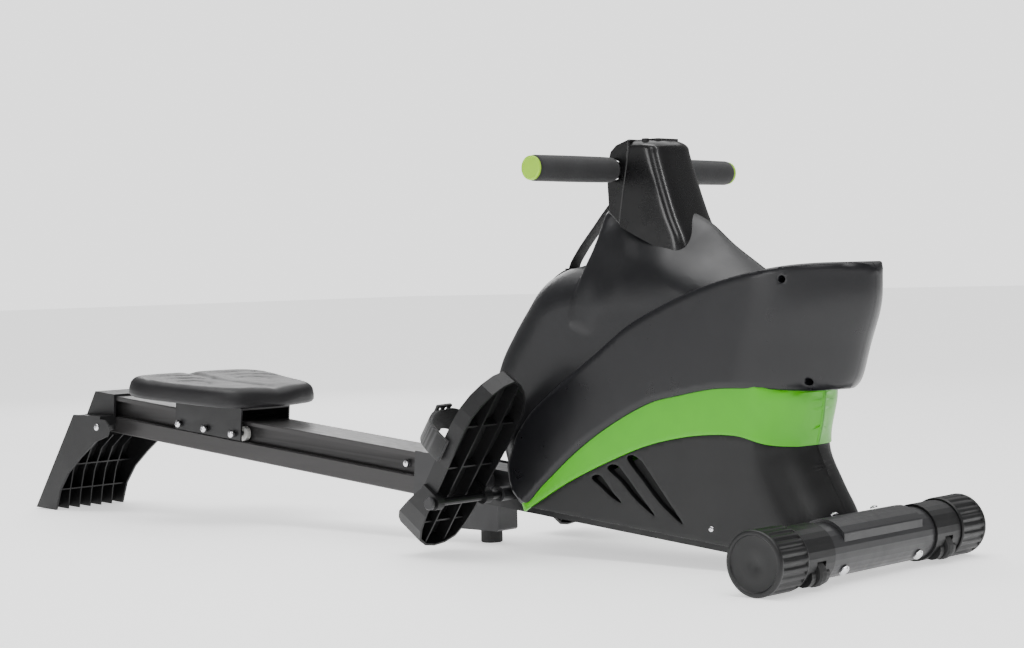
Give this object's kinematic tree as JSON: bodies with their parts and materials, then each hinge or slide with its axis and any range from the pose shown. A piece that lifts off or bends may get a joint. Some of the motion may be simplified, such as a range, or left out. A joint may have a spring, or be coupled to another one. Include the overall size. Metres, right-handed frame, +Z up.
{
  "type": "rowing machine",
  "caption": "Folding magnetic rowing machine: finned flywheel housing, console head with handle on a strap, swivelling foot plates and a seat that rolls on an inclined rail",
  "frame": {"origin": "floor level, under the middle of the machine's length and width", "axes": "+X towards the front stabiliser, along the machine's length; +Y to the left of a rower who faces the housing; +Z up"},
  "size_m": [1.8223, 0.5, 0.606],
  "materials": {
    "black_steel": "satin black powder coat",
    "black_rubber": "matt black rubber",
    "black_plastic": "fine-grained black moulding",
    "grey_shell": "satin charcoal moulding",
    "green_trim": "bright green, smooth",
    "dark_gloss": "polished dark moulding",
    "bright_steel": "bright plated steel",
    "rail_aluminium": "black anodised extrusion",
    "seat_plastic": "satin black moulded seat",
    "roller_nylon": "light grey nylon",
    "webbing": "black woven webbing",
    "grip_foam": "soft black foam",
    "lime_cap": "pale green moulding",
    "lcd": "clear window over a grey display",
    "bare_iron": "bare turned iron"
  },
  "bodies": {
    "frame": {"main_beam": "black_steel", "support_post": "black_steel", "centre_foot": "black_rubber", "stabiliser_tube": "black_steel", "right_stabiliser_collar": "black_plastic", "left_stabiliser_collar": "black_plastic", "right_wheel_pin": "bright_steel", "left_wheel_pin": "bright_steel", "right_stabiliser_bolt": "bright_steel", "left_stabiliser_bolt": "bright_steel", "right_upper_shell": "grey_shell", "left_upper_shell": "grey_shell", "right_lower_shell": "grey_shell", "left_lower_shell": "grey_shell", "right_green_band": "green_trim", "left_green_band": "green_trim", "right_visor": "dark_gloss", "left_visor": "dark_gloss", "strap_guide": "dark_gloss", "console_hood": "dark_gloss", "console_rear_panel": "dark_gloss", "lcd_window": "lcd", "hinge_pin": "black_steel", "pedal_axle": "black_steel", "flywheel_axle": "black_steel", "drum_axle": "black_steel", "drive_belt": "black_rubber", "recoil_spring": "bare_iron"},
    "rail": {"rail": "rail_aluminium", "rail_sleeve": "black_steel", "rear_foot": "black_plastic", "rail_stop_bolt": "bright_steel"},
    "lock": {"lock_knob": "black_plastic"},
    "seat": {"seat": "seat_plastic", "seat_carriage": "black_steel"},
    "right_pedal": {"right_pedal": "black_plastic", "right_foot_strap": "webbing"},
    "left_pedal": {"left_pedal": "black_plastic", "left_foot_strap": "webbing"},
    "handle": {"handle_bar": "black_steel", "right_grip": "grip_foam", "left_grip": "grip_foam", "right_grip_cap": "lime_cap", "left_grip_cap": "lime_cap", "tow_strap": "webbing"},
    "drum": {"strap_drum": "black_plastic"},
    "flywheel": {"flywheel": "bare_iron"},
    "knob": {"tension_knob": "black_plastic"},
    "magnet": {"magnet_bracket": "bare_iron"},
    "button": {"mode_button": "black_plastic"},
    "right_cap": {"right_end_cap": "black_plastic"},
    "left_cap": {"left_end_cap": "black_plastic"},
    "right_wheel": {"right_transport_wheel": "black_rubber"},
    "left_wheel": {"left_transport_wheel": "black_rubber"},
    "right_front_roller": {"right_front_roller": "roller_nylon"},
    "right_middle_roller": {"right_middle_roller": "roller_nylon"},
    "right_rear_roller": {"right_rear_roller": "roller_nylon"},
    "left_front_roller": {"left_front_roller": "roller_nylon"},
    "left_middle_roller": {"left_middle_roller": "roller_nylon"},
    "left_rear_roller": {"left_rear_roller": "roller_nylon"}
  },
  "joints": [
    {"name": "rail_fold", "type": "hinge", "parent": "frame", "child": "rail", "pos_m": [0.17533, 0, 0.10675], "axis": [0, 1, 0], "range_deg": [0, 75]},
    {"name": "lock_pull", "type": "slide", "parent": "rail", "child": "lock", "axis": [0, -1, 0], "range_m": [0, 0.02], "stiffness_N_per_m": 300},
    {"name": "seat_slide", "type": "slide", "parent": "rail", "child": "seat", "axis": [-0.9954, 0, 0.0954], "range_m": [-0.36, 0.17]},
    {"name": "right_front_roller_spin", "type": "hinge", "parent": "seat", "child": "right_front_roller", "pos_m": [-0.35849, -0.035, 0.15519], "axis": [0, -1, 0], "range_deg": [-1600, 800]},
    {"name": "right_middle_roller_spin", "type": "hinge", "parent": "seat", "child": "right_middle_roller", "pos_m": [-0.43215, -0.035, 0.16225], "axis": [0, -1, 0], "range_deg": [-1600, 800]},
    {"name": "right_rear_roller_spin", "type": "hinge", "parent": "seat", "child": "right_rear_roller", "pos_m": [-0.50581, -0.035, 0.1693], "axis": [0, -1, 0], "range_deg": [-1600, 800]},
    {"name": "left_front_roller_spin", "type": "hinge", "parent": "seat", "child": "left_front_roller", "pos_m": [-0.35849, 0.035, 0.15519], "axis": [0, -1, 0], "range_deg": [-1600, 800]},
    {"name": "left_middle_roller_spin", "type": "hinge", "parent": "seat", "child": "left_middle_roller", "pos_m": [-0.43215, 0.035, 0.16225], "axis": [0, -1, 0], "range_deg": [-1600, 800]},
    {"name": "left_rear_roller_spin", "type": "hinge", "parent": "seat", "child": "left_rear_roller", "pos_m": [-0.50581, 0.035, 0.1693], "axis": [0, -1, 0], "range_deg": [-1600, 800]},
    {"name": "right_pedal_tilt", "type": "hinge", "parent": "frame", "child": "right_pedal", "pos_m": [0.26775, -0.153, 0.085], "axis": [0, 1, 0], "range_deg": [-10, 30]},
    {"name": "left_pedal_tilt", "type": "hinge", "parent": "frame", "child": "left_pedal", "pos_m": [0.26775, 0.153, 0.085], "axis": [0, 1, 0], "range_deg": [-10, 30]},
    {"name": "handle_pull", "type": "slide", "parent": "frame", "child": "handle", "axis": [-1, 0, 0], "range_m": [0, 1.1], "deforming": ["tow_strap"]},
    {"name": "drum_spin", "type": "hinge", "parent": "frame", "child": "drum", "pos_m": [0.47575, 0, 0.232], "axis": [0, -1, 0], "range_deg": [0, 1680]},
    {"name": "flywheel_spin", "type": "hinge", "parent": "frame", "child": "flywheel", "pos_m": [0.66275, 0, 0.212], "axis": [0, -1, 0], "continuous": true},
    {"name": "knob_turn", "type": "hinge", "parent": "frame", "child": "knob", "pos_m": [0.51575, 0.091, 0.366], "axis": [0, 1, 0], "range_deg": [0, 315]},
    {"name": "magnet_swing", "type": "hinge", "parent": "frame", "child": "magnet", "pos_m": [0.58933, 0, 0.31685], "axis": [0, -1, 0], "range_deg": [0, 8.1]},
    {"name": "button_press", "type": "slide", "parent": "frame", "child": "button", "axis": [0, 0, -1], "range_m": [0, 0.002], "stiffness_N_per_m": 250},
    {"name": "right_cap_turn", "type": "hinge", "parent": "frame", "child": "right_cap", "pos_m": [0.86775, -0.218, 0.0433], "axis": [0, 1, 0], "continuous": true},
    {"name": "left_cap_turn", "type": "hinge", "parent": "frame", "child": "left_cap", "pos_m": [0.86775, 0.218, 0.0433], "axis": [0, 1, 0], "continuous": true},
    {"name": "right_wheel_spin", "type": "hinge", "parent": "frame", "child": "right_wheel", "pos_m": [0.89275, -0.155, 0.023], "axis": [0, 1, 0], "continuous": true},
    {"name": "left_wheel_spin", "type": "hinge", "parent": "frame", "child": "left_wheel", "pos_m": [0.89275, 0.155, 0.023], "axis": [0, 1, 0], "continuous": true}
  ],
  "couplings": [
    {"joint": "right_front_roller_spin", "follows": "seat_slide", "rad_per_m": 76.923},
    {"joint": "right_middle_roller_spin", "follows": "seat_slide", "rad_per_m": 76.923},
    {"joint": "right_rear_roller_spin", "follows": "seat_slide", "rad_per_m": 76.923},
    {"joint": "left_front_roller_spin", "follows": "seat_slide", "rad_per_m": 76.923},
    {"joint": "left_middle_roller_spin", "follows": "seat_slide", "rad_per_m": 76.923},
    {"joint": "left_rear_roller_spin", "follows": "seat_slide", "rad_per_m": 76.923},
    {"joint": "drum_spin", "follows": "handle_pull", "rad_per_m": 26.316},
    {"joint": "magnet_swing", "follows": "knob_turn", "ratio": 0.0254}
  ]
}
